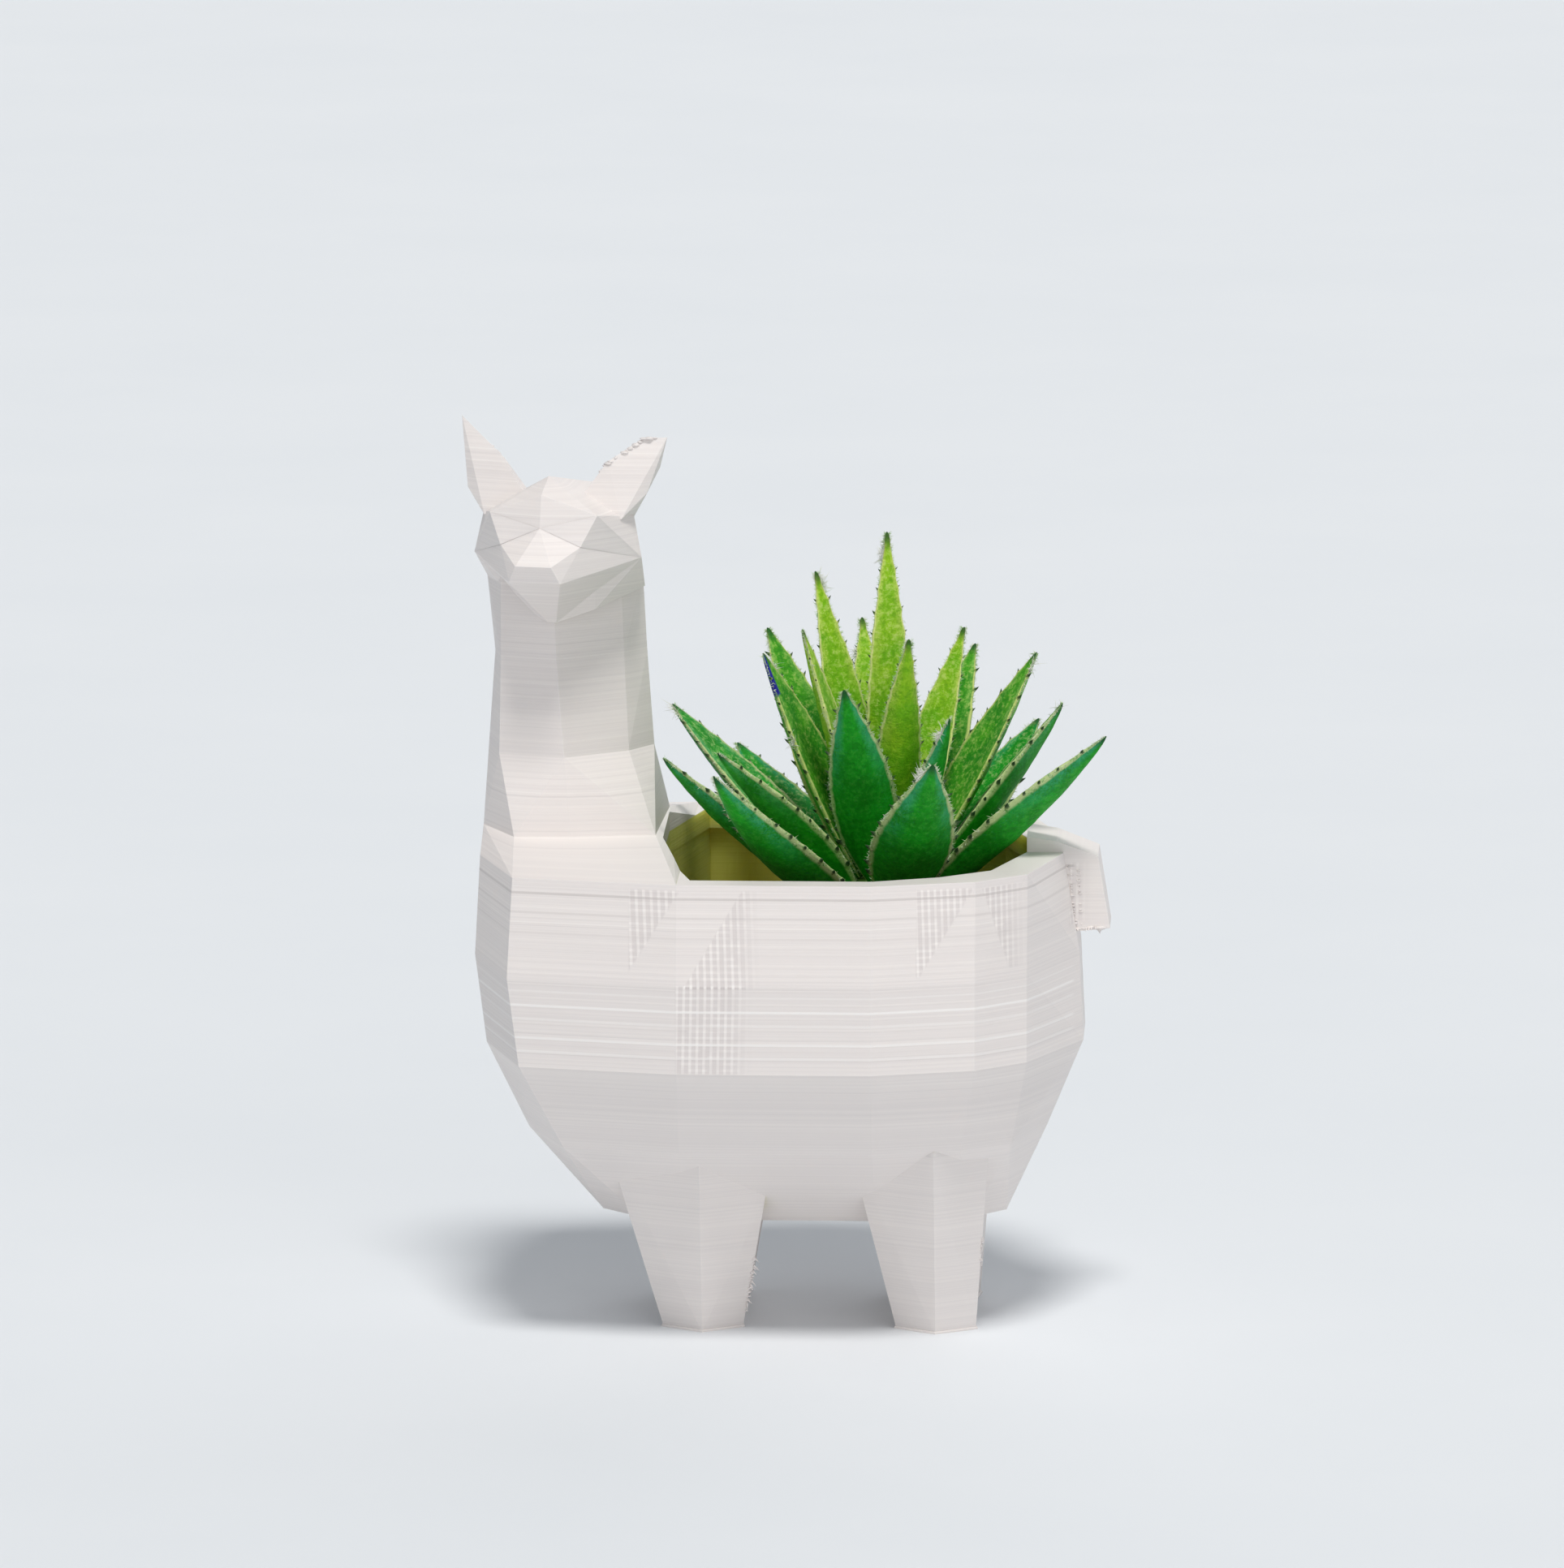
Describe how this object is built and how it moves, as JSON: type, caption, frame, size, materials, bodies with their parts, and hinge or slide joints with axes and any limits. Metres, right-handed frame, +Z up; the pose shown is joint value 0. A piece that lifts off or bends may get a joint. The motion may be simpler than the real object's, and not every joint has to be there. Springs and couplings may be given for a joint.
{
  "type": "llama-shaped planter with artificial aloe",
  "caption": "Small faceted llama pot with a turned head, hollow open back and short legs, holding a toothed artificial aloe on a foam plug that lifts out.",
  "frame": {"origin": "on the ground under the middle of the whole object's box", "axes": "+Z up, +X from the chest towards the tail, +Y to the llama's right side, away from the side the head is turned to"},
  "size_m": [0.0748, 0.0572, 0.105],
  "materials": {
    "white_pla": "satin, fine layer lines",
    "floral_foam": "matt, crumbly",
    "stem_plastic": "matt",
    "outer_leaf_plastic": "matt, flocked",
    "middle_leaf_plastic": "matt, flocked",
    "inner_leaf_plastic": "matt, flocked",
    "heart_leaf_plastic": "matt, flocked"
  },
  "bodies": {
    "pot": {"llama_pot": "white_pla"},
    "filler": {"foam_plug": "floral_foam"},
    "plant": {"plant_stem": "stem_plastic", "leaf_core": "stem_plastic", "outer_leaf_1": "outer_leaf_plastic", "outer_leaf_2": "outer_leaf_plastic", "outer_leaf_3": "outer_leaf_plastic", "outer_leaf_4": "outer_leaf_plastic", "outer_leaf_5": "outer_leaf_plastic", "outer_leaf_6": "outer_leaf_plastic", "middle_leaf_1": "middle_leaf_plastic", "middle_leaf_2": "middle_leaf_plastic", "middle_leaf_3": "middle_leaf_plastic", "middle_leaf_4": "middle_leaf_plastic", "inner_leaf_1": "inner_leaf_plastic", "inner_leaf_2": "inner_leaf_plastic", "inner_leaf_3": "inner_leaf_plastic", "inner_leaf_4": "inner_leaf_plastic", "inner_leaf_5": "inner_leaf_plastic", "inner_leaf_6": "inner_leaf_plastic", "heart_leaf_1": "heart_leaf_plastic", "heart_leaf_2": "heart_leaf_plastic", "heart_leaf_3": "heart_leaf_plastic", "heart_leaf_4": "heart_leaf_plastic", "heart_leaf_5": "heart_leaf_plastic", "heart_leaf_6": "heart_leaf_plastic"}
  },
  "joints": [
    {"name": "plug_lift", "type": "slide", "parent": "pot", "child": "filler", "axis": [0, 0, 1], "range_m": [0, 0.045]},
    {"name": "plant_pull", "type": "slide", "parent": "filler", "child": "plant", "axis": [0, 0, 1], "range_m": [0, 0.022]}
  ]
}
